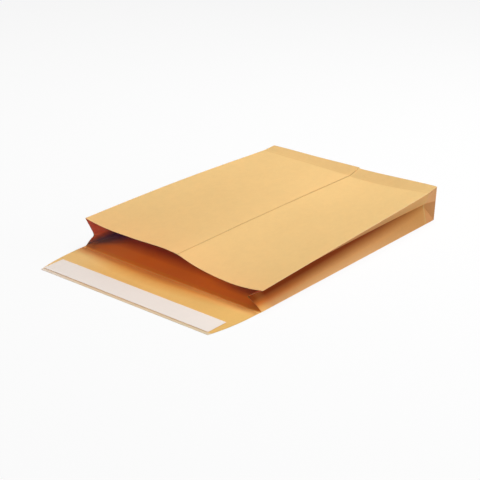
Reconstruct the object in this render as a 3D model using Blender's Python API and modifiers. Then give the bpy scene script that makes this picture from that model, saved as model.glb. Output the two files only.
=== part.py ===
"""Gusseted kraft paper mailing envelope, lying open on its plain panel.

One sheet of kraft paper is folded into a tube with a gusset down each side. Its two long edges lap
and are glued along the upper panel, its far end is folded into a block bottom, and its mouth has a
tapered flap with a strip of adhesive under a peel-off liner. Metres, +Z up, the mouth towards -Y.
"""

import math

import bmesh
import bpy
import numpy as np

# Driving dimensions of the folded envelope
WIDTH = 0.229  # across the panels, outside
LENGTH = 0.324  # from the mouth to the closed end
DEPTH = 0.040  # full width of the gussets and of the block bottom
PAPER = 0.0002  # thickness of the sheet
PLY_GAP = 0.00005  # glue line between two plies, and between the strip's layers

# Flap
FLAP_LENGTH = 0.0685
FLAP_TAPER = 0.0072  # how far each side of the flap comes in at its free edge
FLAP_CURVE = 2.6  # power of the curve that the flap's sides follow

# Glued centre seam of the upper panel
SEAM_X = 0.011  # the visible edge of the upper ply
SEAM_LAP = 0.015  # how far the lower ply runs on under it
SEAM_STEP = 0.0009  # how far the lower ply has sunk beside the seam at the closed end
SEAM_STEP_RUN = 0.008  # across the seam, the stretch in which it sinks

# Block bottom: how far each part of the sheet is turned past its end fold
PLEAT = 0.019  # the lower lip, and the four corner pleats that tie it to the rest
SIDE_TAB = 0.024  # turned in from each gusset, inside the lips
SIDE_TAB_TAPER = 0.006  # how far each corner of a side tab comes in at its free edge
TOP_LIP = 0.032  # turned down from the upper panel, outermost
CORNER_LEAD = 0.0015  # from a corner, where its stacked plies have come apart

# How the paper stands: pairs of a share of the half width and a height over the table
MOUTH_HEIGHTS = (
    (-1.0, 0.0334), (-0.77, 0.0300), (-0.4, 0.0292), (0.04, 0.0292), (0.1, 0.0284),
    (0.24, 0.0240), (0.52, 0.0190), (0.7, 0.0178), (0.86, 0.0189), (1.0, 0.0213),
)
CREASE_HEIGHTS = ((-1.0, 0.0381), (-0.5, 0.0366), (0.08, 0.0344), (0.5, 0.0340), (1.0, 0.0372))
END_HEIGHTS = ((-1.0, 0.0400), (0.0, 0.0392), (1.0, 0.0400))
LEFT_BELLY = 0.0022  # extra rise of the left side, half way along
GUSSET_BOW = 0.0006  # how far each half of a gusset bows out of flat
GUSSET_RISE = 0.0016  # how far a gusset's crease has risen from its middle at the closed end
MOUTH_LIFT = 0.0028  # how far the lower panel's left corner stands off the table at the mouth
LIFT_LENGTH = 0.130  # the stretch in which it comes down

# Adhesive strip and its liner, on the inner face of the flap
LINER_WIDTH = 0.0256
LINER_FROM_EDGE = 0.0040  # between the liner and the flap's free edge
LINER_LEFT = -0.1075
LINER_RIGHT = 0.1041
LINER_THICKNESS = 0.0001
ADHESIVE_INSET = 0.0025  # bare liner along each side
ADHESIVE_END_INSET = 0.0050  # bare liner at each end
ADHESIVE_THICKNESS = 0.0001

# How finely the sheet is divided
PANEL_STEPS = 14
SEAM_STEPS = 2
GUSSET_STEPS = 3
TAB_STEPS = 4
BODY_STATIONS = 14
BAND_STATIONS = 3
FLAP_STATIONS = 8
LIP_STATIONS = 3
EDGE_STATIONS = 2
STRIP_STEPS = 8

# Worked out from the dimensions above. The sheet is modelled as its middle surface.
PLY = PAPER + PLY_GAP
HALF = (WIDTH - PAPER) / 2
FLOOR = PAPER / 2
GUSSET_HALF = (DEPTH - PAPER) / 2
MOUTH_Y = (FLAP_LENGTH - LENGTH) / 2  # so that the origin is under the middle of the whole
END_Y = MOUTH_Y + LENGTH - PAPER / 2
CREASE_Y = END_Y - DEPTH / 2
LAST_STATION = BODY_STATIONS + BAND_STATIONS

# Which ply of the block bottom each part is, counted inwards. All of them meet in the corners.
LEFT_LIP_PLY, RIGHT_LIP_PLY, LOWER_LIP_PLY, PLEAT_PLY, TAB_PLY = range(5)
CORNER_PLY = TAB_PLY

# The parts of one section of the sheet, in order round the tube
STRIPS = (
    "upper_right", "pleat_upper_right", "gusset_right", "pleat_lower_right", "lower",
    "pleat_lower_left", "gusset_left", "pleat_upper_left", "upper_left",
)


def smooth_step(value):
    value = min(max(value, 0.0), 1.0)
    return value * value * (3 - 2 * value)


def curve_height(knots, share):
    """The height at a share of the half width, on a smooth curve through the knots."""
    xs, zs = zip(*knots)
    slopes = np.gradient(zs, xs)
    index = int(np.clip(np.searchsorted(xs, share) - 1, 0, len(xs) - 2))
    span = xs[index + 1] - xs[index]
    t = (share - xs[index]) / span
    start = zs[index] * (1 + 2 * t) * (1 - t) ** 2 + slopes[index] * span * t * (1 - t) ** 2
    end = zs[index + 1] * t * t * (3 - 2 * t) - slopes[index + 1] * span * t * t * (1 - t)
    return start + end


def upper_height(x, y, lower_ply=False):
    """The height of the upper panel's middle surface, lower beside the seam on its lower ply."""
    share = x / HALF
    along = (y - MOUTH_Y) / (CREASE_Y - MOUTH_Y)
    if along <= 1:
        height = (1 - along) * curve_height(MOUTH_HEIGHTS, share)
        height += along * curve_height(CREASE_HEIGHTS, share)
        height += LEFT_BELLY * math.sin(math.pi * along) * (1 - share) / 2
    else:
        band = min((y - CREASE_Y) / (END_Y - CREASE_Y), 1.0)
        height = (1 - band) * curve_height(CREASE_HEIGHTS, share)
        height += band * curve_height(END_HEIGHTS, share)
    if lower_ply:
        beside = smooth_step((x - SEAM_X) / SEAM_STEP_RUN + 0.5)
        fade = 1 - smooth_step((x - SEAM_X) / (HALF - SEAM_X))
        height -= (PLY + SEAM_STEP * beside * min(along, 1.0)) * fade
    return height - PAPER / 2


def lower_height(x, y):
    """The height of the lower panel's middle surface, which lifts off the table at the mouth's left."""
    along = min((y - MOUTH_Y) / LIFT_LENGTH, 1.0)
    return PAPER / 2 + MOUTH_LIFT * (1 - along) ** 2 * (1 - x / HALF) / 2


def lapped_height(x, y):
    """The height of the upper panel's right side, which is the lower ply of the seam."""
    return upper_height(x, y, lower_ply=True)


def end_height(x, lower_ply=False):
    """The height of the upper end fold."""
    return upper_height(x, END_Y, lower_ply)


def ply_y(ply):
    return END_Y - ply * PLY


def between(a, b, t):
    return tuple(p + (q - p) * t for p, q in zip(a, b))


def line(start, end, steps, bow=(0.0, 0.0, 0.0)):
    """Points from start to end, both included, bowed sideways in the middle."""
    points = []
    for index in range(steps + 1):
        t = index / steps
        push = math.sin(math.pi * t)
        points.append(tuple(p + b * push for p, b in zip(between(start, end, t), bow)))
    return points


def lap_places():
    """The places across the lap, the same on both of its plies."""
    lap = [SEAM_X - SEAM_LAP, SEAM_X - (SEAM_LAP + SEAM_STEP_RUN / 2) / 2]
    return lap + list(np.linspace(SEAM_X - SEAM_STEP_RUN / 2, SEAM_X, SEAM_STEPS + 1))


def left_places(left):
    """The places across the upper panel's left side, from a left edge to the seam."""
    panel = np.linspace(left + CORNER_LEAD, SEAM_X - SEAM_LAP, PANEL_STEPS)
    return [left, *panel[:-1], *lap_places()]


def right_places(right):
    """The places across the upper panel's right side, close together beside the seam."""
    beside = SEAM_X + SEAM_STEP_RUN / 2
    sinking = np.linspace(SEAM_X, beside, SEAM_STEPS + 1)
    panel = np.linspace(beside, right - CORNER_LEAD, PANEL_STEPS)
    return [*lap_places(), *sinking[1:], *panel[1:], right]


def lower_places(right):
    panel = np.linspace(right - CORNER_LEAD, CORNER_LEAD - right, PANEL_STEPS)
    return [right, *panel, -right]


def station_y(station, ply):
    """The place of one station along the tube, on a part whose end fold lies in the given ply."""
    if station <= BODY_STATIONS:
        return MOUTH_Y + (CREASE_Y - MOUTH_Y) * station / BODY_STATIONS
    band = (station - BODY_STATIONS) / BAND_STATIONS
    return CREASE_Y + (ply_y(ply) - CREASE_Y) * band


def panel_point(x, station, ply, height):
    """A point of a panel: its sides are folds, which end where all the plies meet."""
    on_fold = abs(abs(x) - HALF) < PAPER
    y = station_y(station, CORNER_PLY if on_fold else ply)
    return (x, y, height(x, y))


def gusset_crease(side, y):
    """Where a gusset's two halves meet, drawn in as far as the panels have come together."""
    foot = lower_height(side * HALF, y)
    half_rise = (upper_height(side * HALF, y) - foot) / 2
    risen = GUSSET_RISE * (y - MOUTH_Y) / (CREASE_Y - MOUTH_Y)
    drawn_in = math.sqrt(GUSSET_HALF**2 - (half_rise + risen / 2) ** 2)
    return (side * (HALF - drawn_in), y, foot + half_rise + risen)


def gusset_points(side, station):
    """A gusset's section, from the upper panel down. Its crease forks into the bottom's diagonals."""
    y = station_y(station, CORNER_PLY)
    upper = (side * HALF, y, upper_height(side * HALF, y))
    lower = (side * HALF, y, lower_height(side * HALF, y))
    forked = max(station - BODY_STATIONS, 0) / BAND_STATIONS
    apex = gusset_crease(side, min(y, CREASE_Y))
    corner = (side * HALF, ply_y(CORNER_PLY))
    upper_fold = between(apex, (*corner, end_height(side * HALF)), forked)
    lower_fold = between(apex, (*corner, FLOOR), forked)
    out = GUSSET_BOW * (1 - forked)
    points = line(upper, upper_fold, GUSSET_STEPS, (side * out / 2, 0.0, out))
    points += line(upper_fold, lower_fold, TAB_STEPS)
    return points + line(lower_fold, lower, GUSSET_STEPS, (side * out / 2, 0.0, out))


def tube_section(station):
    """The sheet's section at one station between the mouth and the end folds."""
    section = {"upper_right": [], "lower": [], "upper_left": []}
    for x in right_places(HALF):
        section["upper_right"].append(panel_point(x, station, RIGHT_LIP_PLY, lapped_height))
    for x in lower_places(HALF):
        section["lower"].append(panel_point(x, station, LOWER_LIP_PLY, lower_height))
    for x in left_places(-HALF):
        section["upper_left"].append(panel_point(x, station, LEFT_LIP_PLY, upper_height))
    section["gusset_right"] = gusset_points(1, station)
    section["gusset_left"] = gusset_points(-1, station)[::-1]
    # Along the tube a pleat is still the panel's corner itself.
    section["pleat_upper_right"] = [section["upper_right"][-1]] * 2
    section["pleat_lower_right"] = [section["lower"][0]] * 2
    section["pleat_lower_left"] = [section["lower"][-1]] * 2
    section["pleat_upper_left"] = [section["upper_left"][0]] * 2
    return section


def tab_top(x):
    """The height at which a side tab and its pleats fold back, clear of the panel over them."""
    return upper_height(x, ply_y(TAB_PLY), lower_ply=x > SEAM_X) - PLY


def tab_points(side, reach, taper=0.0):
    """A side tab's section, with the points in its corners that the gusset's halves end in."""
    x = side * (HALF - reach)
    top = (x, ply_y(TAB_PLY), tab_top(x) - taper)
    foot = (x, ply_y(TAB_PLY), FLOOR + PLY + taper)
    return [top] * (GUSSET_STEPS + 1) + line(top, foot, TAB_STEPS) + [foot] * (GUSSET_STEPS + 1)


def upper_lip(reach):
    """The upper lip's section on both sides of the seam, between its diagonal edges."""
    near = HALF - reach
    right, left = [], []
    for x in right_places(near):
        right.append((x, ply_y(RIGHT_LIP_PLY), end_height(x, lower_ply=True) - reach))
    for x in left_places(-near):
        left.append((x, ply_y(LEFT_LIP_PLY), end_height(x) - reach))
    return {"upper_right": right, "upper_left": left}


def end_section(reach):
    """The sheet's section a given reach past the end folds: lips, pleats and side tabs."""
    near = HALF - reach
    section = upper_lip(reach)
    section["lower"] = [(x, ply_y(LOWER_LIP_PLY), FLOOR + reach) for x in lower_places(near)]
    for side, name in ((1, "right"), (-1, "left")):
        diagonal = (side * near, ply_y(PLEAT_PLY))
        lid = end_height(side * near, lower_ply=side > 0)
        upper = [(*diagonal, lid - reach), (*diagonal, tab_top(side * near))]
        lower = [(*diagonal, FLOOR + PLY), (*diagonal, FLOOR + reach)]
        section["pleat_upper_" + name] = upper[::side]
        section["pleat_lower_" + name] = lower[::side]
        section["gusset_" + name] = tab_points(side, reach)[::side]
    return section


def flap_height(x, run):
    """The height of the flap's middle surface, which slopes down to the table at its free edge."""
    out = run / FLAP_LENGTH
    return lower_height(x, MOUTH_Y) * (1 - out) + FLOOR * out


def flap_section(run):
    """The flap's section at a run from the mouth, on from the lower panel."""
    half = HALF - FLAP_TAPER * (run / FLAP_LENGTH) ** FLAP_CURVE
    return {"lower": [(x, MOUTH_Y - run, flap_height(x, run)) for x in lower_places(half)]}


def add_section(mesh, section):
    added = {}
    for strip, points in section.items():
        added[strip] = [mesh.verts.new(point) for point in points]
    return added


def bridge(mesh, first, second):
    """Faces between two rows of as many points."""
    for index in range(len(first) - 1):
        mesh.faces.new((first[index], first[index + 1], second[index + 1], second[index]))


def loft(mesh, first, second):
    """Faces between two sections: in each strip that both have, and across to the next strip."""
    shared = [strip for strip in STRIPS if strip in first and strip in second]
    for strip in shared:
        bridge(mesh, first[strip], second[strip])
    for strip, after in zip(STRIPS, STRIPS[1:]):
        if strip in shared and after in shared and len(shared) == len(STRIPS):
            edge = [first[strip][-1], first[after][0]]
            far_edge = [second[strip][-1], second[after][0]]
            bridge(mesh, edge, far_edge)


def sheet_mesh():
    """The folded sheet's middle surface, lofted from the flap's edge to the block bottom's tabs."""
    mesh = bmesh.new()
    tube = [add_section(mesh, tube_section(station)) for station in range(LAST_STATION + 1)]
    reaches = [CORNER_LEAD, *np.linspace(CORNER_LEAD, PLEAT, LIP_STATIONS + 1)[1:]]
    end = [add_section(mesh, end_section(reach)) for reach in reaches]
    runs = np.linspace(0, FLAP_LENGTH, FLAP_STATIONS + 1)[1:]
    flap = [add_section(mesh, flap_section(run)) for run in runs]
    sections = flap[::-1] + tube + end
    for first, second in zip(sections, sections[1:]):
        loft(mesh, first, second)

    lip = end[-1]
    for reach in np.linspace(PLEAT, TOP_LIP, EDGE_STATIONS + 1)[1:]:
        further = add_section(mesh, upper_lip(reach))
        loft(mesh, lip, further)
        lip = further
    for side, name in ((1, "gusset_right"), (-1, "gusset_left")):
        points = tab_points(side, SIDE_TAB, SIDE_TAB_TAPER)[::side]
        loft(mesh, end[-1], add_section(mesh, {name: points}))
    bmesh.ops.remove_doubles(mesh, verts=mesh.verts, dist=PAPER / 100)
    return mesh


def new_object(collection, name, mesh, material):
    data = bpy.data.meshes.new(name)
    mesh.to_mesh(data)
    mesh.free()
    data.materials.append(material)
    obj = bpy.data.objects.new(name, data)
    collection.objects.link(obj)
    return obj


def new_material(name, colour, roughness):
    material = bpy.data.materials.new(name)
    material.use_nodes = True
    shader = material.node_tree.nodes["Principled BSDF"]
    shader.inputs["Base Color"].default_value = (*colour, 1.0)
    shader.inputs["Roughness"].default_value = roughness
    shader.inputs["Metallic"].default_value = 0.0
    return material


def add_envelope(collection, material):
    """The sheet itself: its middle surface with the paper's thickness put on both sides."""
    envelope = new_object(collection, "kraft_envelope", sheet_mesh(), material)
    paper = envelope.modifiers.new("paper", "SOLIDIFY")
    paper.solidify_mode = "NON_MANIFOLD"
    paper.nonmanifold_thickness_mode = "CONSTRAINTS"
    paper.nonmanifold_boundary_mode = "FLAT"
    paper.nonmanifold_merge_threshold = PAPER / 1000
    paper.thickness = PAPER
    paper.offset = 0.0
    return envelope


def add_strip(collection, name, material, inset, end_inset, base, thickness):
    """A thin strip along the flap, inset within the liner's outline and laid on the flap's slope."""
    left = LINER_LEFT + end_inset
    right = LINER_RIGHT - end_inset
    near = FLAP_LENGTH - LINER_FROM_EDGE - inset
    far = near - LINER_WIDTH + 2 * inset
    mesh = bmesh.new()
    bmesh.ops.create_cube(mesh, size=1.0)
    lengthways = [edge for edge in mesh.edges if edge.verts[0].co.x != edge.verts[1].co.x]
    bmesh.ops.subdivide_edges(mesh, edges=lengthways, cuts=STRIP_STEPS - 1)
    for vert in mesh.verts:
        x = left + (right - left) * (vert.co.x + 0.5)
        run = near + (far - near) * (vert.co.y + 0.5)
        on_flap = flap_height(x, run) + PAPER / 2
        vert.co = (x, MOUTH_Y - run, on_flap + base + thickness * (vert.co.z + 0.5))
    return new_object(collection, name, mesh, material)


def build():
    for obj in list(bpy.data.objects):
        bpy.data.objects.remove(obj)
    collection = bpy.data.collections.new("paper_mailer")
    bpy.context.scene.collection.children.link(collection)
    kraft = new_material("kraft_paper", (0.80, 0.54, 0.24), 0.75)
    glue = new_material("seal_adhesive", (0.82, 0.78, 0.66), 0.35)
    liner = new_material("liner_paper", (0.84, 0.74, 0.70), 0.6)
    add_envelope(collection, kraft)
    liner_base = PLY_GAP + ADHESIVE_THICKNESS + PLY_GAP
    add_strip(
        collection, "seal_adhesive", glue,
        ADHESIVE_INSET, ADHESIVE_END_INSET, PLY_GAP, ADHESIVE_THICKNESS,
    )
    add_strip(collection, "release_liner", liner, 0.0, 0.0, liner_base, LINER_THICKNESS)


if __name__ == "__main__":
    build()
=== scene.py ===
"""Looks of a gusseted kraft paper mailing envelope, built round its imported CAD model.

The folded sheet is refined from the CAD solid: its curved panels are smoothed, its folds stay crisp
and the paper gets its unevenness. The liner lies on the flap. Metres, +Z up, the mouth towards -Y.
"""

import math

import bpy
from mathutils import Matrix, Vector


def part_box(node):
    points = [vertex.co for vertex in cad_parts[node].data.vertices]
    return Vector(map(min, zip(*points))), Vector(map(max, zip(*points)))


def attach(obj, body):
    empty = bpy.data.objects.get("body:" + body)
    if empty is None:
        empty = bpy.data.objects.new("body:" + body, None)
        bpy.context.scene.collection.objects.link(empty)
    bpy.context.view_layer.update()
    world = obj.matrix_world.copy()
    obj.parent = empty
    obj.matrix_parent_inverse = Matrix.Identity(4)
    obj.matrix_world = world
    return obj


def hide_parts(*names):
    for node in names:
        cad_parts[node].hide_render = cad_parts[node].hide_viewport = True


bl_info = {
    "name": "Paper mailer looks",
    "version": (1, 0, 0),
    "blender": (4, 5, 0),
    "location": "3D Viewport > Sidebar > Mailer",
    "description": "Kraft paper sheet, peel-off liner and stage for a gusseted mailing envelope",
    "category": "Add Mesh",
}

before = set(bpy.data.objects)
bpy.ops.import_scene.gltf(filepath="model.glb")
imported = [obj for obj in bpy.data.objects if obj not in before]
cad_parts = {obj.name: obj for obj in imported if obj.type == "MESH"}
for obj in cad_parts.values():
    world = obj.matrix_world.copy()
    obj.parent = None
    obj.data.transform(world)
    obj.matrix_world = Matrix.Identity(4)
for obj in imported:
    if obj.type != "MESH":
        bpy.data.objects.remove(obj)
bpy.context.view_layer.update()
SHEET_LOW, SHEET_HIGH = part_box("kraft_envelope")

# Places that the folds of the CAD model stand at
FLAP_LENGTH = 0.0685
BLOCK_BAND = 0.020
MOUTH_Y = SHEET_LOW.y + FLAP_LENGTH
BAND_Y = SHEET_HIGH.y - BLOCK_BAND
SEAM_X = 0.011  # the visible edge of the seam's upper ply
PAPER = 0.0002
NEAR = 0.0006  # how near a fold's place an edge counts as lying on it
GUSSET_EDGE_AT_MOUTH = 0.0213  # height of the right gusset's upper edge at the mouth
CREASE_SHARE = 0.56  # height of a gusset's crease, as a share of its upper edge's
BAND_FOLD_SHARE = 0.7  # the band's fold lies above this share of the sheet's height
MOUTH_FOLD_SHARE = 0.1  # and the mouth's fold below this one
LOWER_PANEL_SHARE = 0.25  # and the lower panel below this one

# Shape of the finished pieces
WELD = PAPER / 200  # CAD corners nearer than this are one
QUAD_ANGLE = math.radians(20)  # CAD triangles bent less than this are joined in pairs
CUT_LENGTH = PAPER * 1.3  # a face with an edge shorter than this is the paper's thickness
END_NORMAL = 0.7  # the end face's normals have more Y than this
SIDE_NORMAL = 0.4  # and the gussets' normals have more X than this
OUTSIDE, INSIDE, CUT, GUSSET = range(4)  # the sheet's material slots
BOW_REACH = 0.012  # how far in from the sheet's side the bow reaches
BOW_START = 0.35  # as shares of the length from the mouth to the band, like the next three
BOW_RISE = 0.40
BOW_END = 1.02
BOW_FALL = 0.08
LINER_CUTS = 5
LINER_ANGLE = math.radians(30)
LINER_RIPPLE = 0.00012
LINER_RIPPLE_LENGTH = 0.018

# Surface of the papers
FOLD_WIDTH = 0.0011
FLAP_CREASE = 0.0033  # from the mouth's fold to the pale crease across the flap
# width of the painted shadow along the seam's edge
SEAM_SHADOW_WIDTH = 0.0006
BAND_SOFTNESS = 0.0030
BAND_WANDER = 0.0022
CREASED_LENGTH = 0.050  # how far from the block bottom the paper is creased most
CREASE_DEPTH = 0.0012
CREASE_BUMP = 0.6
GRAIN_DEPTH = 0.00005
KRAFT_BUMP = 0.25
KRAFT_SPECULAR = 0.25
STRIP_BUMP = 0.08
STRIP_GRAIN = 0.01  # how cloudy and how fibrous the strips and the cut edge are
KRAFT_ROUGHNESS = (0.70, 0.86)
NOISE_RANGE = (0.3, 0.7)  # nearly all of a noise's values lie in it
NOISE_MIDDLE = 0.5
CLOUD_RANGE = (0.7, 1.3)  # the same for two noises added
LIGHT_FIBRES = (0.52, 0.72)  # the noise values at which a fibre starts and is full
DARK_FIBRES = (0.56, 0.76)
CREASE_LINE = 0.012  # how near its middle value a noise draws a fine crease
CREASE_RELIEF = 0.16  # height of a fine crease, where the dents reach up to 1
MIX_FIRST, MIX_SECOND, MIX_RESULT = 6, 7, 2  # a Mix node's sockets for colours

# Stretches over which the shades set in: where a shade starts, then where it is full.
# Along the sheet, from the mouth's fold towards the closed end
FLAP_FACE = (-0.0100, -0.0180)
WARM_START = (-0.0300, -0.0137)
WARM_END = (-0.0037, -0.0087)
FOLD_START = (-0.0062, -0.0032)
FOLD_END = (0.0058, 0.0018)
WING_MOUTH = (-0.002, 0.001)
LIT_MOUTH = (0.019, 0.005)
UNDER_EDGE = (0.0145, 0.0245)
DEEP_INSIDE = (0.0217, 0.0457)
NEAR_HALF = (0.090, 0.050)
FAR_END = (0.178, 0.288)
OPENED_END = (0.190, 0.260)
PALE_RIM = (0.0016, 0.0016 / 3)  # from the sides too

# In from the sheet's sides
POCKET = (0.0044, 0.0120)
WARM_WING = (0.0012, 0.0080)
SHOULDER_START = (0.0030, 0.0070)
SHOULDER_END = (0.0115, 0.0085)
INNER_WING = (0.0160, 0.0125)
CORNER_SIDE = (0.024, 0.006)

# Across the sheet, from its middle line to the right
RIGHT_HALF = (0.0, 0.100)
FAR_RIGHT = (0.035, 0.070)
FAR_LEFT = (-0.050, -0.090)

# Up from the table, in from the flap's front edge, and as shares of the sheet's height
OFF_TABLE = (0.0025, 0.0045)
LOW_ON_WING = (0.015, 0.004)
FRONT_RIM = (0.0045, 0.0030)
UPPER_PANEL = (0.4, 0.6)

# Outlines of single shades
GAPE_X = -0.010  # where the mouth gapes most
GAPE_HALF_WIDTH = 0.080
WARM_LAG = 0.009  # how much less far the warm shade reaches at the gape's half width
SHADOW_SLANT = 0.85  # how far the left corner's shadow runs along the sheet for each step across
SHADOW_WIDENING = 0.016
WING_SOFTNESS = 0.0015
UPPER_WING_SHARE = 0.10  # how much of the lower wing's shades the upper wing gets
PLEAT_SOFTNESS = 0.004

# Tints, as what a full shade leaves of the paper's red, green and blue. Most of them are painted light and
# shade, standing for shadow and for light in thin paper that the lamps alone don't give, so some brighten
# it.
# painted shade on the block bottom's band, where the ply beneath holds back the light through the paper
BAND_SHADE_TINT = (0.96, 0.94, 0.92)
# a painted shadow along the seam's edge
SEAM_SHADOW_TINT = (0.78, 0.68, 0.56)
# paler along the upper panel's mouth edge and side folds
PALE_RIM_TINT = (1.0, 1.02, 1.15)
# gussets: painted shade in the pockets, on the lower wings and on the end pleat, painted light at the
# mouth and on the upper wings near the block bottom
SHOULDER_SHADE_TINT = (1.03, 0.82, 0.66)
POCKET_SHADE_TINT = (0.42, 0.16, 0.05)
MOUTH_POCKET_SHADE_TINT = (0.42, 0.20, 0.08)
WARM_WING_SHADE_TINT = (1.0, 0.86, 0.60)
LIT_MOUTH_TINT = (1.25, 1.36, 1.18)
FAR_END_SHADE_TINT = (0.86, 0.77, 0.60)
OPENED_LIGHT_TINT = (1.10, 1.12, 1.04)
OPENED_WARM_LIGHT_TINT = (1.18, 1.25, 1.20)
PLEAT_SHADE_TINT = (1.0, 0.95, 1.10)
FLAP_TINT = (0.93, 0.985, 0.96)
# a painted warm shadow on the flap before the mouth
WARM_FLAP_SHADOW_TINT = (0.91, 0.71, 0.48)
# painted light at the mouth's fold
MOUTH_FOLD_LIGHT_TINT = (1.04, 1.12, 1.0)
# a painted highlight on the ridge of the flap's crease, over its paler fibres
CREASE_HIGHLIGHT_TINT = (1.60, 1.95, 1.90)
# painted shade far inside, on the right half and under the upper panel's edge at the right, and painted
# light on the left
DEEP_SHADE_TINT = (0.44, 0.30, 0.74)
RIGHT_SHADE_TINT = (0.96, 1.0, 1.0)
LEFT_LIGHT_TINT = (1.0, 1.12, 1.40)
FAR_RIGHT_SHADE_TINT = (0.60, 0.56, 1.0)
# a painted shadow in the mouth's left corner
CORNER_SHADOW_TINT = (0.40, 0.68, 1.9)
# painted shade on the wings' inner faces, darkest low down
INNER_WING_SHADE_TINT = (0.80, 0.58, 1.50)
LOW_WING_SHADE_TINT = (0.24, 0.78, 1.2)
FRONT_RIM_TINT = (0.95, 1.20, 2.50)

# The stage
SENSOR_WIDTH = 36.0  # in millimetres
NEAREST_SEEN = 0.05
FURTHEST_SEEN = 20.0
FLOOR_SIZE = 12.0
FLOOR_ROUGHNESS = 0.9
FLOOR_SEEN = 0.9  # the floor's grey in the rays that show the background
KEY_PLACE = (0.00, 0.50, 1.60)
SIDE_PLACE = (0.74, 0.45, 1.47)
LOW_PLACE = (1.25, 0.95, 0.50)
HIGH_LAMP_SIZE = 1.0
LOW_LAMP_SIZE = 0.8


# Settings

class MailerSheetSettings(bpy.types.PropertyGroup):
    """Sizes of the folded sheet's finish"""

    fold_angle: bpy.props.FloatProperty(
        name="Fold angle", description="Edges bent more than this are folds or cut edges",
        default=math.radians(20), subtype="ANGLE")
    smoothing: bpy.props.IntProperty(
        name="Smoothing", description="Levels of subdivision over the CAD faces", default=2, min=0, max=3)
    unevenness: bpy.props.FloatProperty(
        name="Unevenness", description="Rise and fall of the raised panels",
        default=0.0005, unit="LENGTH")
    uneven_length: bpy.props.FloatProperty(
        name="Unevenness length", description="Distance between two rises of the paper",
        default=0.060, unit="LENGTH")
    resting_height: bpy.props.FloatProperty(
        name="Resting height", description="Paper below this lies on the table and stays flat",
        default=0.006, unit="LENGTH")
    gusset_bow: bpy.props.FloatProperty(
        name="Gusset bow", description="How far the gussets' upper wings stand out near the block bottom",
        default=0.0016, unit="LENGTH")


class MailerPaperSettings(bpy.types.PropertyGroup):
    """Colours of the papers and the adhesive"""

    outside: bpy.props.FloatVectorProperty(
        name="Outside", description="Kraft colour of the sheet's outer face",
        default=(0.970, 0.775, 0.335), size=3, subtype="COLOR", min=0, max=1)
    # the gussets' outer face is a shaded copy of the kraft, painted deeper and redder than the outside as
    # shade
    gusset: bpy.props.FloatVectorProperty(
        name="Gusset", description="Kraft colour of the gussets' outer face at their edges",
        default=(1.000, 0.595, 0.250), size=3, subtype="COLOR", min=0, max=1)
    inside: bpy.props.FloatVectorProperty(
        name="Inside", description="Kraft colour of the sheet's inner face",
        default=(1.000, 0.760, 0.255), size=3, subtype="COLOR", min=0, max=1)
    # painted shade in the band's fold, darker than the outer face's kraft
    fold: bpy.props.FloatVectorProperty(
        name="Fold", description="Colour of the band's fold on the outer face",
        default=(0.860, 0.650, 0.260), size=3, subtype="COLOR", min=0, max=1)
    # paler fibres along the flap's crease, which also stand in for a painted highlight on its ridge
    worn_and_lit_crease: bpy.props.FloatVectorProperty(
        name="Worn fold", description="Paler fibres along the crease across the flap",
        default=(1.000, 0.820, 0.420), size=3, subtype="COLOR", min=0, max=1)
    glow: bpy.props.FloatVectorProperty(
        name="Glow", description="Colour of the light that the outer face lets through",
        default=(1.0, 0.53, 0.26), size=3, subtype="COLOR", min=0, max=1)
    inner_glow: bpy.props.FloatVectorProperty(
        name="Inner glow", description="Colour of the light that the inner face lets through",
        default=(1.0, 0.468, 0.272), size=3, subtype="COLOR", min=0, max=1)
    see_through: bpy.props.FloatProperty(
        name="See-through", description="Share of the light that the outer face passes on",
        default=0.33, subtype="FACTOR", min=0, max=1)
    inner_see_through: bpy.props.FloatProperty(
        name="Inner see-through", description="Share of the light that the inner face passes on",
        default=0.385, subtype="FACTOR", min=0, max=1)
    gusset_see_through: bpy.props.FloatProperty(
        name="Gusset see-through", description="Share of the light that the gussets' outer face passes on",
        default=0.22, subtype="FACTOR", min=0, max=1)
    cut: bpy.props.FloatVectorProperty(
        name="Cut edge", description="Colour of the paper where it is cut",
        default=(0.980, 0.830, 0.500), size=3, subtype="COLOR", min=0, max=1)
    liner: bpy.props.FloatVectorProperty(
        name="Liner", description="Colour of the peel-off strip",
        default=(0.955, 0.860, 0.785), size=3, subtype="COLOR", min=0, max=1)
    adhesive: bpy.props.FloatVectorProperty(
        name="Adhesive", description="Colour of the sealing strip under the liner",
        default=(0.820, 0.780, 0.660), size=3, subtype="COLOR", min=0, max=1)


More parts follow.
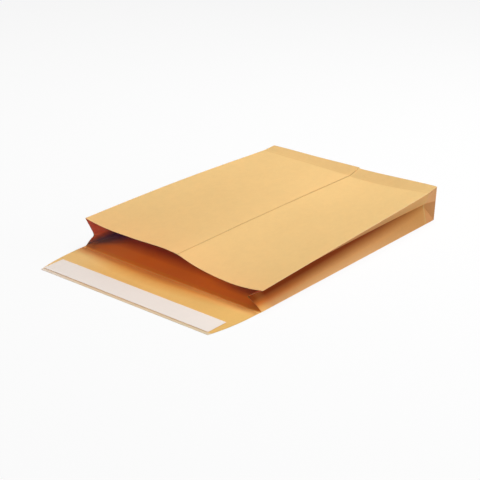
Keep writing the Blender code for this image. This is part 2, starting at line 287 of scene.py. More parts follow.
class MailerStageSettings(bpy.types.PropertyGroup):
    """Camera, lamps and floor"""

    azimuth: bpy.props.FloatProperty(
        name="Azimuth", description="The camera's turn to the right of the mouth",
        default=math.radians(37.661), subtype="ANGLE")
    elevation: bpy.props.FloatProperty(
        name="Elevation", description="The camera's angle over the table",
        default=math.radians(21.846), subtype="ANGLE")
    roll: bpy.props.FloatProperty(
        name="Roll", description="The camera's turn about its line of sight",
        default=math.radians(1.795), subtype="ANGLE")
    distance: bpy.props.FloatProperty(
        name="Distance", description="From the camera to the point it turns about",
        default=1.16488, unit="LENGTH")
    lens: bpy.props.FloatProperty(
        name="Lens", description="Focal length on a sensor 36 mm wide", default=80.958, unit="CAMERA")
    aim: bpy.props.FloatVectorProperty(
        name="Aim", description="The point the camera turns about",
        default=(0.0, 0.02225, 0.0), size=3, subtype="TRANSLATION", unit="LENGTH")
    offset: bpy.props.FloatVectorProperty(
        name="Offset", description="The camera's step to the right and up, in its own directions",
        default=(-0.023179, -0.004029), size=2, unit="LENGTH")
    key_power: bpy.props.FloatProperty(
        name="Key power", description="Power of the large lamp overhead", default=19.7, unit="POWER")
    side_power: bpy.props.FloatProperty(
        name="Side power", description="Power of the lamp high on the right", default=6.4, unit="POWER")
    low_power: bpy.props.FloatProperty(
        name="Low power", description="Power of the low lamp behind on the right",
        default=10.1, unit="POWER")
    sky: bpy.props.FloatProperty(
        name="Sky", description="Strength of the even light from all round", default=0.05)
    floor_white: bpy.props.FloatProperty(
        name="Floor white", description="Share of pure white in the floor that the camera sees",
        default=0.88, subtype="FACTOR", min=0, max=1)
    floor_bounce: bpy.props.FloatProperty(
        name="Floor bounce", description="Share of the light that the floor sends back on to the object",
        default=0.35, subtype="FACTOR", min=0, max=1)


# Helpers for modelling

def only_select(obj):
    """Leave edit mode, select this object alone and make it active."""
    if bpy.context.mode != "OBJECT":
        bpy.ops.object.mode_set(mode="OBJECT")
    bpy.ops.object.select_all(action="DESELECT")
    obj.select_set(True)
    bpy.context.view_layer.objects.active = obj


def select_edges(obj, keep):
    """In edit mode, select the edges that keep() says yes to, given both end points."""
    bpy.ops.mesh.select_all(action="DESELECT")
    bpy.ops.mesh.select_mode(type="EDGE")
    bpy.ops.object.mode_set(mode="OBJECT")
    points = [vert.co for vert in obj.data.vertices]
    for edge in obj.data.edges:
        edge.select = keep(points[edge.vertices[0]], points[edge.vertices[1]])
    bpy.ops.object.mode_set(mode="EDIT")


def crease_selected():
    bpy.ops.transform.edge_crease(value=1.0)


def apply_modifier(obj, modifier):
    only_select(obj)
    bpy.ops.object.modifier_apply(modifier=modifier.name)


def finish_piece(obj, slot, *nodes):
    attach(obj, "root")
    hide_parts(*nodes)


# Shader node groups

def add_node(tree, kind, place, **values):
    node = tree.nodes.new(kind)
    node.location = place
    for name, value in values.items():
        setattr(node, name, value)
    return node


def new_group(name, inputs, outputs):
    """A shader node group with float or colour sockets, given as {name: default}."""
    group = bpy.data.node_groups.new(name, "ShaderNodeTree")
    for direction, sockets in (("INPUT", inputs), ("OUTPUT", outputs)):
        for label, default in sockets.items():
            kind = "NodeSocketColor" if isinstance(default, tuple) else "NodeSocketFloat"
            socket = group.interface.new_socket(name=label, in_out=direction, socket_type=kind)
            socket.default_value = default
    entry = add_node(group, "NodeGroupInput", (-900, 0))
    leave = add_node(group, "NodeGroupOutput", (900, 0))
    return group, entry, leave


def stretched_noise(tree, place, stretch, scale, detail, turn=0.0):
    """A noise texture on Object coordinates, drawn out and turned in the plane of the sheet."""
    coordinates = add_node(tree, "ShaderNodeTexCoord", place)
    mapping = add_node(tree, "ShaderNodeMapping", (place[0] + 180, place[1]))
    mapping.inputs["Rotation"].default_value = (0.0, 0.0, turn)
    mapping.inputs["Scale"].default_value = stretch
    noise = add_node(tree, "ShaderNodeTexNoise", (place[0] + 360, place[1]))
    noise.inputs["Scale"].default_value = scale
    noise.inputs["Detail"].default_value = detail
    tree.links.new(coordinates.outputs["Object"], mapping.inputs["Vector"])
    tree.links.new(mapping.outputs["Vector"], noise.inputs["Vector"])
    return noise.outputs["Fac"]


def ranged(tree, place, value, low, high, to_low=0.0, to_high=1.0):
    """A value's range from low to high, spread over another range."""
    node = add_node(tree, "ShaderNodeMapRange", place)
    for name, number in (("From Min", low), ("From Max", high), ("To Min", to_low), ("To Max", to_high)):
        node.inputs[name].default_value = number
    tree.links.new(value, node.inputs["Value"])
    return node.outputs["Result"]


def calculated(tree, place, operation, first, second):
    """A Math node of two sockets or numbers."""
    node = add_node(tree, "ShaderNodeMath", place, operation=operation)
    for index, value in enumerate((first, second)):
        if isinstance(value, bpy.types.NodeSocket):
            tree.links.new(value, node.inputs[index])
        else:
            node.inputs[index].default_value = value
    return node.outputs["Value"]


def scaled_colour(tree, place, colour, value):
    """A colour made lighter or darker by a value about 1."""
    node = add_node(tree, "ShaderNodeVectorMath", place, operation="SCALE")
    tree.links.new(colour, node.inputs[0])
    tree.links.new(value, node.inputs["Scale"])
    return node.outputs["Vector"]


def paper_grain_group():
    """Kraft paper's cloudy formation, its fibres in two directions, and its fine roughness."""
    group, entry, leave = new_group(
        "paper_grain",
        {"Colour": (0.8, 0.5, 0.2, 1.0), "Cloudiness": 0.03, "Fibres": 0.05},
        {"Colour": (0.8, 0.5, 0.2, 1.0), "Height": 0.0, "Roughness": 0.75},
    )
    clouds = stretched_noise(group, (-900, 500), stretch=(1.0, 0.6, 1.0), scale=160.0, detail=3.0)
    drift = stretched_noise(group, (-900, 300), stretch=(1.0, 0.5, 1.0), scale=14.0, detail=2.0)
    along = stretched_noise(
        group, (-900, 100), stretch=(1.0, 0.08, 1.0), scale=2600.0, detail=2.0, turn=math.radians(9))
    across = stretched_noise(
        group, (-900, -100), stretch=(1.0, 0.1, 1.0), scale=2000.0, detail=2.0, turn=math.radians(-34))
    tooth = stretched_noise(group, (-900, -300), stretch=(1.0, 1.0, 1.0), scale=3500.0, detail=3.0)

    both = calculated(group, (-300, 400), "ADD", clouds, drift)
    cloudy = ranged(group, (-120, 400), both, *CLOUD_RANGE, -1.0, 1.0)
    cloudy = calculated(group, (60, 400), "MULTIPLY", cloudy, entry.outputs["Cloudiness"])
    light_fibres = ranged(group, (-300, 100), along, *LIGHT_FIBRES)
    dark_fibres = ranged(group, (-300, -100), across, *DARK_FIBRES)
    fibres = calculated(group, (-120, 0), "SUBTRACT", light_fibres, dark_fibres)
    drawn = calculated(group, (60, 0), "MULTIPLY", fibres, entry.outputs["Fibres"])
    total = calculated(group, (240, 200), "ADD", cloudy, drawn)
    shade = calculated(group, (420, 200), "ADD", total, 1.0)
    colour = scaled_colour(group, (600, 200), entry.outputs["Colour"], shade)
    height = calculated(group, (240, -100), "ADD", fibres, tooth)
    roughness = ranged(group, (240, -300), tooth, *NOISE_RANGE, *KRAFT_ROUGHNESS)

    group.links.new(colour, leave.inputs["Colour"])
    group.links.new(height, leave.inputs["Height"])
    group.links.new(roughness, leave.inputs["Roughness"])
    return group


def fold_line_group():
    """A mask of 1 on a fold across the sheet at a place along Y, fading out to its width."""
    group, entry, leave = new_group("fold_line", {"Place": 0.0, "Width": 0.001}, {"Mask": 0.0})
    coordinates = add_node(group, "ShaderNodeTexCoord", (-900, 200))
    parts = add_node(group, "ShaderNodeSeparateXYZ", (-700, 200))
    group.links.new(coordinates.outputs["Object"], parts.inputs["Vector"])
    off = calculated(group, (-500, 200), "SUBTRACT", parts.outputs["Y"], entry.outputs["Place"])
    off = calculated(group, (-300, 200), "ABSOLUTE", off, 0.0)
    share = calculated(group, (-100, 200), "DIVIDE", off, entry.outputs["Width"])
    mask = ranged(group, (100, 200), share, 0.0, 1.0, 1.0, 0.0)
    group.links.new(mask, leave.inputs["Mask"])
    return group


def paper_creases_group():
    """Soft dents and a few fine creases from handling, fullest from one place along Y onwards."""
    group, entry, leave = new_group(
        "paper_creases", {"From": 0.0, "Full": 0.1, "Elsewhere": 0.2}, {"Height": 0.0},
    )
    dents = stretched_noise(group, (-900, 500), stretch=(1.0, 0.6, 1.0), scale=30.0, detail=2.0)
    course = stretched_noise(
        group, (-900, 300), stretch=(1.0, 0.45, 1.0), scale=26.0, detail=3.0, turn=math.radians(28))
    off = calculated(group, (-300, 300), "SUBTRACT", course, NOISE_MIDDLE)
    off = calculated(group, (-120, 300), "ABSOLUTE", off, 0.0)
    lines = ranged(group, (60, 300), off, 0.0, CREASE_LINE, CREASE_RELIEF, 0.0)
    relief = calculated(group, (240, 400), "ADD", dents, lines)
    coordinates = add_node(group, "ShaderNodeTexCoord", (-900, -100))
    parts = add_node(group, "ShaderNodeSeparateXYZ", (-700, -100))
    group.links.new(coordinates.outputs["Object"], parts.inputs["Vector"])
    spread = add_node(group, "ShaderNodeMapRange", (-300, -100))
    group.links.new(parts.outputs["Y"], spread.inputs["Value"])
    for source, target in (("From", "From Min"), ("Full", "From Max"), ("Elsewhere", "To Min")):
        group.links.new(entry.outputs[source], spread.inputs[target])
    height = calculated(group, (420, 200), "MULTIPLY", relief, spread.outputs["Result"])
    group.links.new(height, leave.inputs["Height"])
    return group


def shared_group(name, make):
    return bpy.data.node_groups.get(name) or make()


def principled(name):
    material = bpy.data.materials.new(name)
    material.use_nodes = True
    return material, material.node_tree.nodes["Principled BSDF"]


def let_light_through(material, shader, share):
    """Mix in the light that thin paper passes on from behind, and return the shader that does it."""
    tree = material.node_tree
    through = add_node(tree, "ShaderNodeBsdfTranslucent", (100, -400))
    mix = add_node(tree, "ShaderNodeMixShader", (400, 0))
    mix.inputs["Fac"].default_value = share
    tree.links.new(shader.outputs["BSDF"], mix.inputs[1])
    tree.links.new(through.outputs["BSDF"], mix.inputs[2])
    tree.links.new(mix.outputs["Shader"], tree.nodes["Material Output"].inputs["Surface"])
    return through


def sheet_places(tree, place):
    """Where a point lies on the sheet: its X, its distance from the middle line, its Y and its height."""
    coordinates = add_node(tree, "ShaderNodeTexCoord", place)
    parts = add_node(tree, "ShaderNodeSeparateXYZ", (place[0] + 200, place[1]))
    tree.links.new(coordinates.outputs["Object"], parts.inputs["Vector"])
    aside = calculated(tree, (place[0] + 400, place[1]), "ABSOLUTE", parts.outputs["X"], 0.0)
    return parts.outputs["X"], aside, parts.outputs["Y"], parts.outputs["Z"]


def tinted(tree, place, colour, mask, tint):
    """A colour, given as a socket or as its parts, multiplied by a tint as far as the mask says."""
    node = add_node(tree, "ShaderNodeMix", place, data_type="RGBA", blend_type="MULTIPLY")
    tree.links.new(mask, node.inputs["Factor"])
    if isinstance(colour, bpy.types.NodeSocket):
        tree.links.new(colour, node.inputs[MIX_FIRST])
    else:
        node.inputs[MIX_FIRST].default_value = (*colour, 1.0)
    node.inputs[MIX_SECOND].default_value = (*tint, 1.0)
    return node.outputs[MIX_RESULT]


def all_of(tree, place, *masks):
    """Where every one of the masks holds."""
    product = masks[0]
    for step, mask in enumerate(masks[1:]):
        product = calculated(tree, (place[0] + 200 * step, place[1]), "MULTIPLY", product, mask)
    return product


def all_but(tree, place, mask):
    """Where a mask doesn't hold."""
    return calculated(tree, place, "SUBTRACT", 1.0, mask)


def from_mouth(tree, place, along, stretch):
    """A mask that sets in over a stretch along the sheet, told from the mouth's fold."""
    start, full = stretch
    return ranged(tree, place, along, MOUTH_Y + start, MOUTH_Y + full)


def from_side(tree, place, aside, stretch):
    """A mask that sets in over a stretch across the sheet, told inwards from its side."""
    start, full = stretch
    return ranged(tree, place, aside, SHEET_HIGH.x - start, SHEET_HIGH.x - full)


def line_mask(tree, place, value, middle, width):
    """A mask of 1 where a value is at the middle, fading out to a width on both sides."""
    off = calculated(tree, place, "SUBTRACT", value, middle)
    off = calculated(tree, (place[0] + 200, place[1]), "ABSOLUTE", off, 0.0)
    return ranged(tree, (place[0] + 400, place[1]), off, 0.0, width, 1.0, 0.0)


def outside_shade(tree):
    """Painted shade on the block bottom's band over its second ply, a painted shadow at the seam's edge,
    paler rims.
    """
    across, aside, along, height = sheet_places(tree, (-1700, -700))
    low, high = (share * SHEET_HIGH.z for share in UPPER_PANEL)
    raised = ranged(tree, (-900, -900), height, low, high)
    wander = stretched_noise(tree, (-1700, -1000), stretch=(1.0, 1.0, 1.0), scale=38.0, detail=1.0)
    shift = ranged(tree, (-1100, -1000), wander, *NOISE_RANGE, -BAND_WANDER, BAND_WANDER)
    edge = calculated(tree, (-900, -700), "ADD", along, shift)
    band = ranged(tree, (-700, -700), edge, BAND_Y - BAND_SOFTNESS, BAND_Y + BAND_SOFTNESS)
    seam = line_mask(tree, (-900, -1300), across, SEAM_X, SEAM_SHADOW_WIDTH)
    mouth_rim = from_mouth(tree, (-900, -1500), along, PALE_RIM)
    side_rim = from_side(tree, (-900, -1700), aside, PALE_RIM)
    marked = calculated(tree, (-700, -1600), "MAXIMUM", mouth_rim, side_rim)
    return (
        (all_of(tree, (-500, -700), band, raised), BAND_SHADE_TINT),
        (all_of(tree, (-300, -1300), seam, raised), SEAM_SHADOW_TINT),
        (all_of(tree, (-300, -1600), marked, raised), PALE_RIM_TINT),
    )


def gusset_shade(tree):
    """Painted shade, darker and redder the deeper in a gusset's pocket, and painted light at the mouth and
    far end.
    """
    _, aside, along, height = sheet_places(tree, (-1700, -700))
    crease = ranged(
        tree, (-1100, -500), along, MOUTH_Y, BAND_Y,
        CREASE_SHARE * GUSSET_EDGE_AT_MOUTH, CREASE_SHARE * SHEET_HIGH.z,
    )
    above = calculated(tree, (-900, -500), "SUBTRACT", height, crease)
    lower_wing = ranged(tree, (-700, -500), above, 0.0, WING_SOFTNESS, 1.0, UPPER_WING_SHARE)
    upper_wing = all_but(tree, (-500, -500), lower_wing)
    pocket = from_side(tree, (-900, -700), aside, POCKET)
    warm = from_side(tree, (-700, -700), aside, WARM_WING)
    mouth = from_mouth(tree, (-900, -900), along, LIT_MOUTH)
    away = all_but(tree, (-700, -900), mouth)
    far = from_mouth(tree, (-900, -1100), along, FAR_END)
    opened = from_mouth(tree, (-700, -1100), along, OPENED_END)
    pleat = ranged(tree, (-900, -1300), along, BAND_Y, BAND_Y + PLEAT_SOFTNESS)
    near_half = from_mouth(tree, (-700, -1500), along, NEAR_HALF)
    past_edge = from_side(tree, (-900, -1500), aside, SHOULDER_START)
    before_pocket = from_side(tree, (-900, -1700), aside, SHOULDER_END)
    shoulder = all_of(tree, (-500, -1500), near_half, past_edge, before_pocket, lower_wing)
    return (
        (shoulder, SHOULDER_SHADE_TINT),
        (all_of(tree, (-500, -700), pocket, lower_wing, away), POCKET_SHADE_TINT),
        (all_of(tree, (-500, -900), pocket, lower_wing, mouth), MOUTH_POCKET_SHADE_TINT),
        (all_of(tree, (-300, -900), warm, lower_wing), WARM_WING_SHADE_TINT),
        (mouth, LIT_MOUTH_TINT),
        (all_of(tree, (-500, -1100), far, lower_wing), FAR_END_SHADE_TINT),
        (all_of(tree, (-300, -1100), opened, upper_wing), OPENED_LIGHT_TINT),
        (all_of(tree, (-100, -1100), opened, upper_wing, warm), OPENED_WARM_LIGHT_TINT),
        (pleat, PLEAT_SHADE_TINT),
    )


def warm_shadow_mask(tree, across, along):
    """The flap's painted warm shadow before the mouth, which reaches furthest where the mouth gapes most.
    """
    off = calculated(tree, (-1500, 900), "SUBTRACT", across, GAPE_X)
    off = calculated(tree, (-1300, 900), "DIVIDE", off, GAPE_HALF_WIDTH)
    square = calculated(tree, (-1100, 900), "MULTIPLY", off, off)
    lag = calculated(tree, (-900, 900), "MULTIPLY", square, WARM_LAG)
    lagging = calculated(tree, (-700, 900), "SUBTRACT", along, lag)
    rising = from_mouth(tree, (-500, 900), lagging, WARM_START)
    falling = from_mouth(tree, (-500, 700), along, WARM_END)
    return all_of(tree, (-300, 900), rising, falling)


def corner_shadow_mask(tree, across, along):
    """The painted shadow on the lower panel that widens from the mouth's left corner inwards."""
    left = calculated(tree, (-1500, 1300), "MULTIPLY", across, -1.0)
    near_side = from_side(tree, (-1300, 1300), left, CORNER_SIDE)
    slanted = calculated(tree, (-1300, 1100), "MULTIPLY", left, SHADOW_SLANT)
    slanted = calculated(tree, (-1100, 1100), "ADD", slanted, along)
    corner = MOUTH_Y + SHADOW_SLANT * SHEET_HIGH.x
    widening = ranged(tree, (-900, 1100), slanted, corner, corner + SHADOW_WIDENING)
    return all_of(tree, (-700, 1300), near_side, widening)


def inside_shade(tree):
    """Painted shadow before the mouth, a painted highlight on the flap's pale crease, painted shade far
    inside, dull at the front edge.
    """
    across, aside, along, height = sheet_places(tree, (-1700, -700))
    facing = add_node(tree, "ShaderNodeNewGeometry", (-1700, -1200))
    front = all_but(tree, (-1500, -1200), facing.outputs["Backfacing"])
    raised = ranged(tree, (-1100, -500), height, *OFF_TABLE)
    flat = all_but(tree, (-900, -500), raised)
    crossed = from_mouth(tree, (-1100, -300), along, FOLD_START)
    uncrossed = from_mouth(tree, (-900, -300), along, FOLD_END)
    deep = from_mouth(tree, (-1100, -700), along, DEEP_INSIDE)
    flap = from_mouth(tree, (-1100, -100), along, FLAP_FACE)
    right = ranged(tree, (-1100, -900), across, *RIGHT_HALF)
    left = ranged(tree, (-900, -900), across, *FAR_LEFT)
    far_right = ranged(tree, (-1100, -1100), across, *FAR_RIGHT)
    under_edge = from_mouth(tree, (-900, -1100), along, UNDER_EDGE)
    side = from_side(tree, (-1100, -1300), aside, INNER_WING)
    entered = from_mouth(tree, (-900, -1300), along, WING_MOUTH)
    low = ranged(tree, (-1100, -1500), height, *LOW_ON_WING)
    wing = all_of(tree, (-700, -1300), side, entered, raised, front)
    rim = ranged(tree, (-1100, -1700), along, *(SHEET_LOW.y + step for step in FRONT_RIM))
    crease = line_mask(tree, (-1100, -1900), along, MOUTH_Y - FLAP_CREASE, FOLD_WIDTH)
    corner = corner_shadow_mask(tree, across, along)
    return (
        (flap, FLAP_TINT),
        (warm_shadow_mask(tree, across, along), WARM_FLAP_SHADOW_TINT),
        (all_of(tree, (-700, -300), crossed, uncrossed, flat), MOUTH_FOLD_LIGHT_TINT),
        (crease, CREASE_HIGHLIGHT_TINT),
        (all_of(tree, (-700, -700), deep, front), DEEP_SHADE_TINT),
        (all_of(tree, (-700, -900), right, front), RIGHT_SHADE_TINT),
        (all_of(tree, (-500, -900), left, front), LEFT_LIGHT_TINT),
        (all_of(tree, (-700, -1100), far_right, under_edge, front), FAR_RIGHT_SHADE_TINT),
        (all_of(tree, (-500, 1300), corner, flat, front), CORNER_SHADOW_TINT),
        (wing, INNER_WING_SHADE_TINT),
        (all_of(tree, (-100, -1500), wing, low), LOW_WING_SHADE_TINT),
        (rim, FRONT_RIM_TINT),
    )


def kraft_material(name, colour, glow, share, shades, fold_place, fold_colour):
    """Kraft paper with its grain, the light and shade painted on it by its place on the sheet, and one
    fold's line.
    """
    material, shader = principled(name)
    tree = material.node_tree
    through = let_light_through(material, shader, share)
    grain = add_node(tree, "ShaderNodeGroup", (-900, 200))
    grain.node_tree = shared_group("paper_grain", paper_grain_group)
    grain.inputs["Colour"].default_value = (*colour, 1.0)
    base = grain.outputs["Colour"]
    # the painted light and shade by place tint both the colour and the light let through
    for mask, tint in shades(tree):
        base = tinted(tree, (-500, 200), base, mask, tint)
        glow = tinted(tree, (-100, -500), glow, mask, tint)
    # one fold's line: painted shade in the band's fold on the outer faces, and paler fibres with a painted
    # highlight on the flap's crease on the inner face
    fold = add_node(tree, "ShaderNodeGroup", (-700, -100))
    fold.node_tree = shared_group("fold_line", fold_line_group)
    fold.inputs["Place"].default_value = fold_place
    fold.inputs["Width"].default_value = FOLD_WIDTH
    marked = add_node(tree, "ShaderNodeMix", (-300, 200), data_type="RGBA")
    tree.links.new(fold.outputs["Mask"], marked.inputs["Factor"])
    tree.links.new(base, marked.inputs[MIX_FIRST])
    marked.inputs[MIX_SECOND].default_value = (*fold_colour, 1.0)
    creases = add_node(tree, "ShaderNodeGroup", (-700, -350))
    creases.node_tree = shared_group("paper_creases", paper_creases_group)
    creases.inputs["From"].default_value = BAND_Y - CREASED_LENGTH
    creases.inputs["Full"].default_value = BAND_Y
    dented = add_node(tree, "ShaderNodeBump", (-500, -350))
    dented.inputs["Strength"].default_value = CREASE_BUMP
    dented.inputs["Distance"].default_value = CREASE_DEPTH
    tree.links.new(creases.outputs["Height"], dented.inputs["Height"])
    bump = add_node(tree, "ShaderNodeBump", (-300, -200))
    bump.inputs["Strength"].default_value = KRAFT_BUMP
    bump.inputs["Distance"].default_value = GRAIN_DEPTH
    tree.links.new(dented.outputs["Normal"], bump.inputs["Normal"])
    tree.links.new(marked.outputs[MIX_RESULT], shader.inputs["Base Color"])
    tree.links.new(glow, through.inputs["Color"])
    tree.links.new(grain.outputs["Roughness"], shader.inputs["Roughness"])
    tree.links.new(grain.outputs["Height"], bump.inputs["Height"])
    tree.links.new(bump.outputs["Normal"], shader.inputs["Normal"])
    shader.inputs["Specular IOR Level"].default_value = KRAFT_SPECULAR
    return material


def strip_material(name, colour, roughness, specular):
    """Coated paper, adhesive or a cut edge, with the same grain made faint."""
    material, shader = principled(name)
    tree = material.node_tree
    grain = add_node(tree, "ShaderNodeGroup", (-600, 200))
    grain.node_tree = shared_group("paper_grain", paper_grain_group)
    grain.inputs["Colour"].default_value = (*colour, 1.0)
    grain.inputs["Cloudiness"].default_value = STRIP_GRAIN
    grain.inputs["Fibres"].default_value = STRIP_GRAIN
    bump = add_node(tree, "ShaderNodeBump", (-300, -200))
    bump.inputs["Strength"].default_value = STRIP_BUMP
    bump.inputs["Distance"].default_value = GRAIN_DEPTH
    tree.links.new(grain.outputs["Colour"], shader.inputs["Base Color"])
    tree.links.new(grain.outputs["Height"], bump.inputs["Height"])
    tree.links.new(bump.outputs["Normal"], shader.inputs["Normal"])
    shader.inputs["Roughness"].default_value = roughness
    shader.inputs["Specular IOR Level"].default_value = specular
    return material


# The folded sheet

def merged_copy(node, name):
    """A copy of a CAD node, merged into one mesh of quads and left in edit mode, all selected."""
    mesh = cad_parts[node].data.copy()
    piece = bpy.data.objects.new(name, mesh)
    bpy.context.scene.collection.objects.link(piece)
    mesh.materials.clear()
    only_select(piece)
    bpy.ops.mesh.customdata_custom_splitnormals_clear()
    bpy.ops.object.mode_set(mode="EDIT")
    bpy.ops.mesh.select_all(action="SELECT")
    bpy.ops.mesh.remove_doubles(threshold=WELD)
    bpy.ops.mesh.tris_convert_to_quads(face_threshold=QUAD_ANGLE, shape_threshold=math.pi)
    return piece


def on_band_fold(a, b):
    """Whether an edge lies on the crease of the block bottom, on the upper panel."""
    across = max(abs(a.y - BAND_Y), abs(b.y - BAND_Y)) < NEAR
    return across and min(a.z, b.z) > SHEET_HIGH.z * BAND_FOLD_SHARE and abs(a.x - b.x) > NEAR


def on_mouth_fold(a, b):
    """Whether an edge lies on the fold between the lower panel and the flap."""
    across = max(abs(a.y - MOUTH_Y), abs(b.y - MOUTH_Y)) < NEAR
    return across and max(a.z, b.z) < SHEET_HIGH.z * MOUTH_FOLD_SHARE and abs(a.x - b.x) > NEAR


def crease_folds(sheet, settings):
    """Hold the folds and the cut edges sharp, so that only the curved panels are smoothed."""
    bpy.ops.mesh.select_all(action="DESELECT")
    bpy.ops.mesh.select_mode(type="EDGE")
    bpy.ops.mesh.edges_select_sharp(sharpness=settings.fold_angle)
    crease_selected()
    for lies_on_fold in (on_band_fold, on_mouth_fold):
        select_edges(sheet, lies_on_fold)
        crease_selected()
    bpy.ops.object.mode_set(mode="OBJECT")


def smooth_panels(sheet, settings):
    smoothing = sheet.modifiers.new("smoothing", "SUBSURF")
    smoothing.levels = settings.smoothing
    smoothing.render_levels = settings.smoothing
    smoothing.boundary_smooth = "PRESERVE_CORNERS"
    apply_modifier(sheet, smoothing)


def make_uneven(sheet, settings):
    """Let the raised panels rise and fall a little, and both faces of the paper together."""
    raised = sheet.vertex_groups.new(name="raised")
    for vert in sheet.data.vertices:
        weight = (vert.co.z - settings.resting_height) / settings.resting_height
        raised.add([vert.index], min(max(weight, 0.0), 1.0), "REPLACE")
    waves = bpy.data.textures.new("paper_waves", "CLOUDS")
    waves.noise_scale = settings.uneven_length
    for axis in ("Z", "X"):
        uneven = sheet.modifiers.new("uneven", "DISPLACE")
        uneven.texture = waves
        uneven.texture_coords = "LOCAL"
        uneven.direction = axis
        uneven.strength = settings.unevenness
        uneven.vertex_group = "raised"
        apply_modifier(sheet, uneven)
    sheet.vertex_groups.clear()


def faces_inside(centre, normal):
    """Whether a face of the block bottom, a gusset or a panel looks into the envelope."""
    if abs(normal.y) > END_NORMAL:
        return normal.y < 0
    if abs(normal.x) > SIDE_NORMAL:
        return normal.x * centre.x < 0
    return (normal.z > 0) == (centre.z < SHEET_HIGH.z * LOWER_PANEL_SHARE)


def is_cut_edge(mesh, face):
    """Whether a face is the paper's thickness, where it was cut."""
    edges = [mesh.edges[mesh.loops[index].edge_index] for index in face.loop_indices]
    points = [[mesh.vertices[end].co for end in edge.vertices] for edge in edges]
    return min((a - b).length for a, b in points) < CUT_LENGTH


def give_papers(sheet, papers):
    """The outer face, the inner face, the cut edge and the gussets each get their own slot."""
    mesh = sheet.data
    for paper in papers:
        mesh.materials.append(paper)
    for face in mesh.polygons:
        if is_cut_edge(mesh, face):
            face.material_index = CUT
        elif faces_inside(face.center, face.normal):
            face.material_index = INSIDE
        elif abs(face.normal.x) > SIDE_NORMAL:
            face.material_index = GUSSET
        else:
            face.material_index = OUTSIDE


def bow_gussets(sheet, settings):
    """Let each gusset's upper wing stand out a little towards the block bottom, where it opens up."""
    rise = (SHEET_HIGH.z - GUSSET_EDGE_AT_MOUTH) / (BAND_Y - MOUTH_Y)
    for side in (-1, 1):
        bowed = sheet.vertex_groups.new(name="bowed")
        for vert in sheet.data.vertices:
            along = (vert.co.y - MOUTH_Y) / (BAND_Y - MOUTH_Y)
            top = GUSSET_EDGE_AT_MOUTH + rise * (vert.co.y - MOUTH_Y)
            up = (vert.co.z / top - CREASE_SHARE) / (1 - CREASE_SHARE)
            near_side = vert.co.x * side > SHEET_HIGH.x - BOW_REACH
            on_wing = near_side and 0 < up < 1 and BOW_START < along < BOW_END
            fading = min((along - BOW_START) / BOW_RISE, (BOW_END - along) / BOW_FALL, 1.0)
            weight = math.sin(math.pi * up) * fading
            bowed.add([vert.index], weight if on_wing else 0.0, "REPLACE")
        bow = sheet.modifiers.new("bow", "DISPLACE")
        bow.direction = "X"
        bow.mid_level = 0.0
        bow.strength = settings.gusset_bow * side
        bow.vertex_group = "bowed"
        apply_modifier(sheet, bow)
        sheet.vertex_groups.clear()


class MAILER_OT_folded_sheet(bpy.types.Operator):
    """Refine the CAD sheet into uneven kraft paper with crisp folds"""

    bl_idname = "mailer.folded_sheet"
    bl_label = "Folded sheet"

    def execute(self, context):
        settings = context.scene.mailer_sheet
        colours = context.scene.mailer_paper
        sheet = merged_copy("kraft_envelope", "folded_sheet")
        crease_folds(sheet, settings)
        papers = (
            kraft_material(
                "kraft_outside", colours.outside, colours.glow, colours.see_through,
                outside_shade, BAND_Y, colours.fold),
            kraft_material(
                "kraft_inside", colours.inside, colours.inner_glow, colours.inner_see_through,
                inside_shade, MOUTH_Y - FLAP_CREASE, colours.worn_and_lit_crease),
            strip_material("kraft_cut", colours.cut, roughness=0.8, specular=KRAFT_SPECULAR),
            # the gussets' outer face: a shaded copy of the kraft, with painted light and shade
            kraft_material(
                "kraft_gusset_shaded", colours.gusset, colours.glow, colours.gusset_see_through,
                gusset_shade, BAND_Y, colours.fold),
        )
        give_papers(sheet, papers)
        smooth_panels(sheet, settings)
        bow_gussets(sheet, settings)
        make_uneven(sheet, settings)
        only_select(sheet)
        bpy.ops.object.shade_smooth_by_angle(angle=settings.fold_angle)
        finish_piece(sheet, "kraft_paper", "kraft_envelope")
        return {"FINISHED"}


# The sealing strip

class MAILER_OT_release_liner(bpy.types.Operator):
    """Lay the peel-off liner over the adhesive on the flap"""

    bl_idname = "mailer.release_liner"
    bl_label = "Release liner"

    def execute(self, context):
        colours = context.scene.mailer_paper
        liner = merged_copy("release_liner", "peel_off_liner")
        bpy.ops.mesh.subdivide(number_cuts=LINER_CUTS)
        bpy.ops.object.mode_set(mode="OBJECT")
        ripples = bpy.data.textures.new("liner_ripples", "CLOUDS")
        ripples.noise_scale = LINER_RIPPLE_LENGTH
        ripple = liner.modifiers.new("ripple", "DISPLACE")
        ripple.texture = ripples
        ripple.texture_coords = "LOCAL"
        ripple.direction = "Z"
        ripple.mid_level = 0.0
        ripple.strength = LINER_RIPPLE
        apply_modifier(liner, ripple)
        bpy.ops.object.shade_smooth_by_angle(angle=LINER_ANGLE)
        coated = strip_material("liner_paper", colours.liner, roughness=0.45, specular=0.4)
        liner.data.materials.append(coated)
        finish_piece(liner, "liner_paper", "release_liner")
        tacky = strip_material("seal_glue", colours.adhesive, roughness=0.25, specular=0.5)
        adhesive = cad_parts["seal_adhesive"]
        adhesive.data.materials.clear()
        adhesive.data.materials.append(tacky)
        return {"FINISHED"}


# The stage

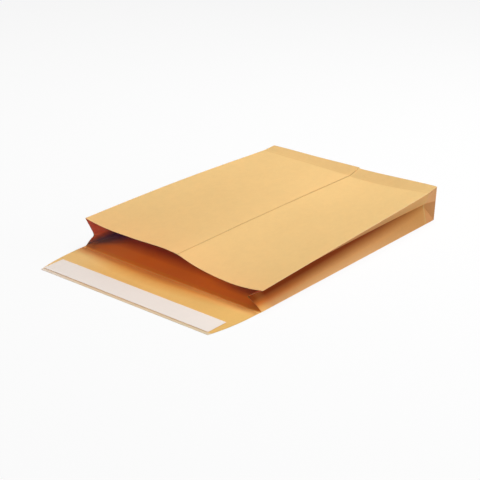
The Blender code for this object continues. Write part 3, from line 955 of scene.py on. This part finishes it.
def add_camera(settings):
    """The camera, turned about its aim and stepped aside in its own directions."""
    azimuth, elevation, roll = settings.azimuth, settings.elevation, settings.roll
    back = Vector((
        math.sin(azimuth) * math.cos(elevation),
        -math.cos(azimuth) * math.cos(elevation),
        math.sin(elevation),
    ))
    right = Vector((math.cos(azimuth), math.sin(azimuth), 0.0))
    up = back.cross(right)
    side = right * math.cos(roll) + up * math.sin(roll)
    top = up * math.cos(roll) - right * math.sin(roll)
    place = Vector(settings.aim) + back * settings.distance
    place += side * settings.offset[0] + top * settings.offset[1]
    data = bpy.data.cameras.new("photo_camera")
    data.lens = settings.lens
    data.sensor_width = SENSOR_WIDTH
    data.clip_start = NEAREST_SEEN
    data.clip_end = FURTHEST_SEEN
    camera = bpy.data.objects.new("photo_camera", data)
    turned = Matrix((side, top, back)).transposed()
    camera.matrix_world = Matrix.Translation(place) @ turned.to_4x4()
    bpy.context.scene.collection.objects.link(camera)
    bpy.context.scene.camera = camera


def add_lamp(name, place, aim, size, power):
    data = bpy.data.lights.new(name, "AREA")
    data.shape = "DISK"
    data.size = size
    data.energy = power
    lamp = bpy.data.objects.new(name, data)
    lamp.location = place
    lamp.rotation_mode = "QUATERNION"
    lamp.rotation_quaternion = (Vector(aim) - Vector(place)).to_track_quat("-Z", "Y")
    bpy.context.scene.collection.objects.link(lamp)


def background_rays(tree, place):
    """1 for the rays that show the background: the camera's, mirrored and through glass."""
    path = add_node(tree, "ShaderNodeLightPath", place)
    seen = calculated(
        tree, (place[0] + 200, place[1]), "MAXIMUM",
        path.outputs["Is Camera Ray"], path.outputs["Is Glossy Ray"],
    )
    return calculated(
        tree, (place[0] + 400, place[1]), "MAXIMUM", seen, path.outputs["Is Transmission Ray"],
    )


def add_floor(settings):
    bpy.ops.object.select_all(action="DESELECT")
    bpy.ops.mesh.primitive_plane_add(size=FLOOR_SIZE, location=(0.0, 0.0, 0.0))
    floor = bpy.context.object
    floor.name = "floor"
    material, shader = principled("pale_floor")
    tree = material.node_tree
    shader.inputs["Roughness"].default_value = FLOOR_ROUGHNESS
    shader.inputs["Specular IOR Level"].default_value = 0.0
    white = add_node(tree, "ShaderNodeEmission", (0, -200))
    mix = add_node(tree, "ShaderNodeMixShader", (300, 0))
    rays = background_rays(tree, (-700, 300))
    share = calculated(tree, (-100, 300), "MULTIPLY", rays, settings.floor_white)
    pale = ranged(tree, (-300, 100), rays, 0.0, 1.0, settings.floor_bounce, FLOOR_SEEN)
    tree.links.new(pale, shader.inputs["Base Color"])
    tree.links.new(share, mix.inputs["Fac"])
    tree.links.new(shader.outputs["BSDF"], mix.inputs[1])
    tree.links.new(white.outputs["Emission"], mix.inputs[2])
    tree.links.new(mix.outputs["Shader"], tree.nodes["Material Output"].inputs["Surface"])
    floor.data.materials.append(material)


def add_sky(settings):
    world = bpy.data.worlds.new("studio")
    world.use_nodes = True
    bpy.context.scene.world = world
    tree = world.node_tree
    light = tree.nodes["Background"]
    light.inputs["Color"].default_value = (1.0, 1.0, 1.0, 1.0)
    light.inputs["Strength"].default_value = settings.sky
    white = add_node(tree, "ShaderNodeBackground", (0, -200))
    white.inputs["Color"].default_value = (1.0, 1.0, 1.0, 1.0)
    mix = add_node(tree, "ShaderNodeMixShader", (300, 0))
    tree.links.new(background_rays(tree, (-500, 300)), mix.inputs["Fac"])
    tree.links.new(light.outputs["Background"], mix.inputs[1])
    tree.links.new(white.outputs["Background"], mix.inputs[2])
    tree.links.new(mix.outputs["Shader"], tree.nodes["World Output"].inputs["Surface"])


class MAILER_OT_stage(bpy.types.Operator):
    """Set up the floor, the lamps and the camera"""

    bl_idname = "mailer.stage"
    bl_label = "Stage"

    def execute(self, context):
        settings = context.scene.mailer_stage
        context.scene.view_settings.view_transform = "Standard"
        add_sky(settings)
        add_floor(settings)
        middle = (0.0, 0.0, 0.0)
        add_lamp("key_lamp", KEY_PLACE, middle, HIGH_LAMP_SIZE, settings.key_power)
        add_lamp("side_lamp", SIDE_PLACE, middle, HIGH_LAMP_SIZE, settings.side_power)
        add_lamp("low_lamp", LOW_PLACE, middle, LOW_LAMP_SIZE, settings.low_power)
        add_camera(settings)
        return {"FINISHED"}


class MAILER_PT_panel(bpy.types.Panel):
    """Buttons for the mailer's pieces and their settings"""

    bl_idname = "MAILER_PT_panel"
    bl_label = "Paper mailer"
    bl_space_type = "VIEW_3D"
    bl_region_type = "UI"
    bl_category = "Mailer"

    def draw(self, context):
        for operator in (MAILER_OT_folded_sheet, MAILER_OT_release_liner, MAILER_OT_stage):
            self.layout.operator(operator.bl_idname)
        for name in SETTINGS:
            settings = getattr(context.scene, name)
            box = self.layout.box()
            for prop in settings.bl_rna.properties:
                if prop.identifier not in ("rna_type", "name"):
                    box.prop(settings, prop.identifier)


SETTINGS = {
    "mailer_sheet": MailerSheetSettings,
    "mailer_paper": MailerPaperSettings,
    "mailer_stage": MailerStageSettings,
}
CLASSES = (
    *SETTINGS.values(), MAILER_OT_folded_sheet, MAILER_OT_release_liner, MAILER_OT_stage,
    MAILER_PT_panel,
)


def register():
    for cls in CLASSES:
        bpy.utils.register_class(cls)
    for name, cls in SETTINGS.items():
        setattr(bpy.types.Scene, name, bpy.props.PointerProperty(type=cls))


def unregister():
    for name in SETTINGS:
        delattr(bpy.types.Scene, name)
    for cls in reversed(CLASSES):
        bpy.utils.unregister_class(cls)


def main():
    register()
    bpy.ops.mailer.stage()
    bpy.ops.mailer.folded_sheet()
    bpy.ops.mailer.release_liner()


if __name__ == "__main__":
    main()
